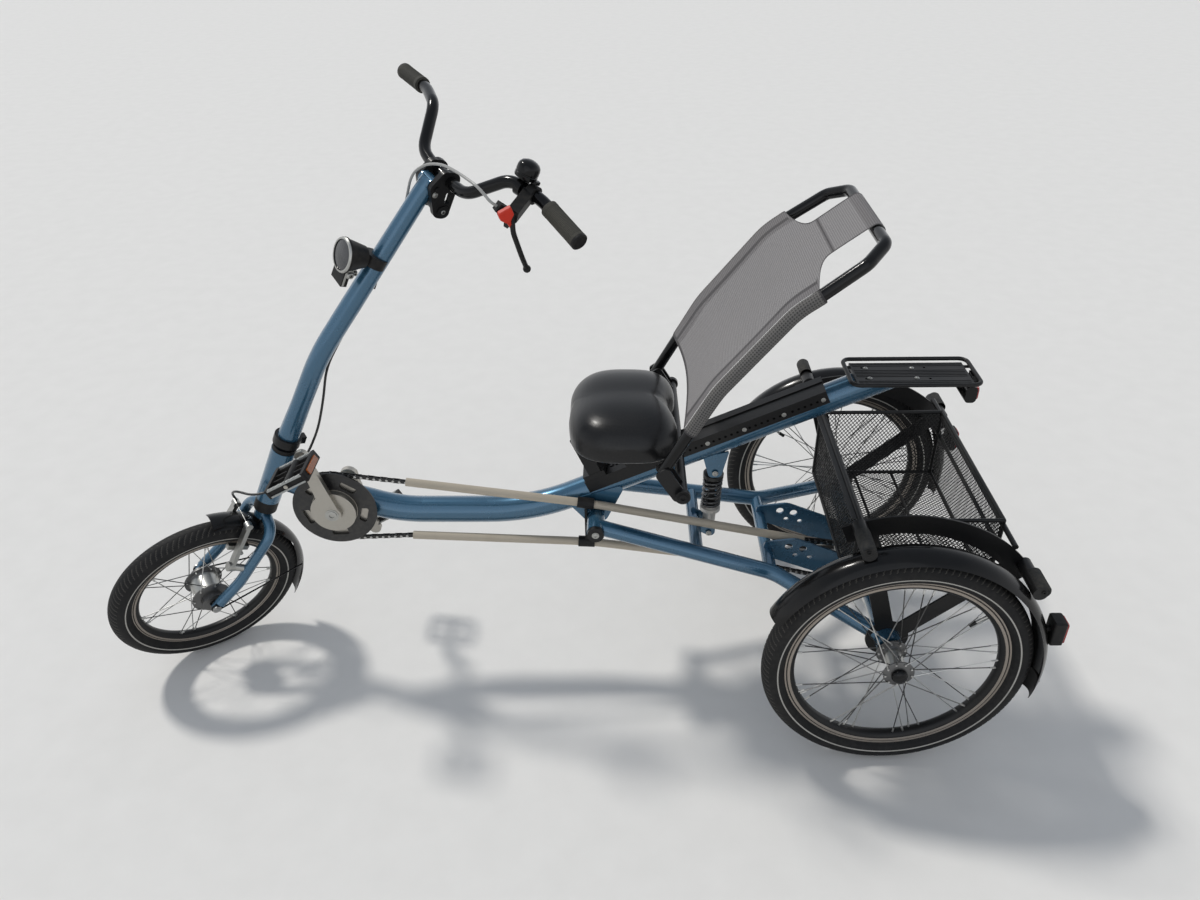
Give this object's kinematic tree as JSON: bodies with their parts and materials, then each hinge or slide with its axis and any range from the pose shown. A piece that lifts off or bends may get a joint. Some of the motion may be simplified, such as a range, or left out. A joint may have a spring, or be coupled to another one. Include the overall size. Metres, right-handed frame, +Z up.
{
  "type": "recumbent trike",
  "caption": "Recumbent pedal trike with one steered front wheel, two rear wheels, a low padded saddle with a mesh backrest, a carrier and a luggage basket.",
  "frame": {"origin": "on the ground below the middle of the trike's length, on its plane of symmetry", "axes": "+X towards the front wheel, +Y to the rider's left, +Z up"},
  "size_m": [1.8593, 0.7459, 1.1887],
  "materials": {
    "blue_paint": "metallic gloss paint",
    "black_paint": "satin powder coat",
    "tyre": "rubber with a light sidewall stripe",
    "rim": "black anodised with machined brake tracks",
    "alloy": "polished alloy",
    "steel": "bright steel",
    "black_plastic": "glossy moulding",
    "beige_tube": "matt plastic tube",
    "saddle_skin": "smooth moulded cover",
    "grey_mesh": "woven mesh",
    "grip_rubber": "textured rubber"
  },
  "bodies": {
    "frame": {"main_frame": "blue_paint", "headset_cups": "black_paint", "swing_arm": "blue_paint", "pivot_bolt": "black_paint", "axle_shaft": "steel", "gear_drum": "alloy", "shock_body": "steel", "shock_spring": "black_paint", "seat_rail": "black_paint", "seat_carriage": "black_paint", "saddle": "saddle_skin", "back_frame": "black_paint", "back_mesh": "grey_mesh", "rack": "black_paint", "tail_light": "black_plastic", "basket": "black_paint", "chain_tube_upper": "beige_tube", "chain_tube_lower": "beige_tube", "chain_clamps": "black_plastic", "chain": "steel", "side_arch_left": "black_paint", "side_arch_right": "black_paint", "mudguard_left": "black_plastic", "mudguard_right": "black_plastic"},
    "steering": {"fork": "blue_paint", "front_axle": "steel", "steering_post": "blue_paint", "post_collar": "black_paint", "stem": "black_paint", "handlebar": "black_paint", "grip_left": "grip_rubber", "grip_right": "grip_rubber", "headlight": "black_plastic", "front_mudguard": "black_plastic", "front_brake": "alloy", "bell": "black_plastic", "brake_cable": "black_plastic", "brake_lever": "black_plastic"},
    "front_wheel": {"tyre_front": "tyre", "rim_front": "rim", "hub_front": "alloy"},
    "rear_wheel_left": {"tyre_left": "tyre", "rim_left": "rim", "hub_left": "alloy"},
    "rear_wheel_right": {"tyre_right": "tyre", "rim_right": "rim", "hub_right": "alloy"},
    "crank": {"crankset": "alloy"},
    "pedal_left": {"pedal_left": "black_plastic"},
    "pedal_right": {"pedal_right": "black_plastic"}
  },
  "joints": [
    {"name": "steering", "type": "hinge", "parent": "frame", "child": "steering", "pos_m": [0.7161, 0, 0.16827], "axis": [-0.4289, 0, 0.9033], "range_deg": [-83.5, 6.5]},
    {"name": "front_wheel_spin", "type": "hinge", "parent": "steering", "child": "front_wheel", "pos_m": [0.76841, 0.04607, 0.19311], "axis": [-0.5623, 0.7826, -0.267], "continuous": true},
    {"name": "left_wheel_spin", "type": "hinge", "parent": "frame", "child": "rear_wheel_left", "pos_m": [-0.648, 0.325, 0.25], "axis": [0, 1, 0], "continuous": true},
    {"name": "right_wheel_spin", "type": "hinge", "parent": "frame", "child": "rear_wheel_right", "pos_m": [-0.648, -0.325, 0.25], "axis": [0, 1, 0], "continuous": true},
    {"name": "crank_spin", "type": "hinge", "parent": "frame", "child": "crank", "pos_m": [0.449, 0, 0.412], "axis": [0, 1, 0], "continuous": true},
    {"name": "left_pedal_spin", "type": "hinge", "parent": "crank", "child": "pedal_left", "pos_m": [0.48653, 0.132, 0.55206], "axis": [0, 1, 0], "continuous": true},
    {"name": "right_pedal_spin", "type": "hinge", "parent": "crank", "child": "pedal_right", "pos_m": [0.41147, -0.132, 0.27194], "axis": [0, 1, 0], "continuous": true}
  ]
}
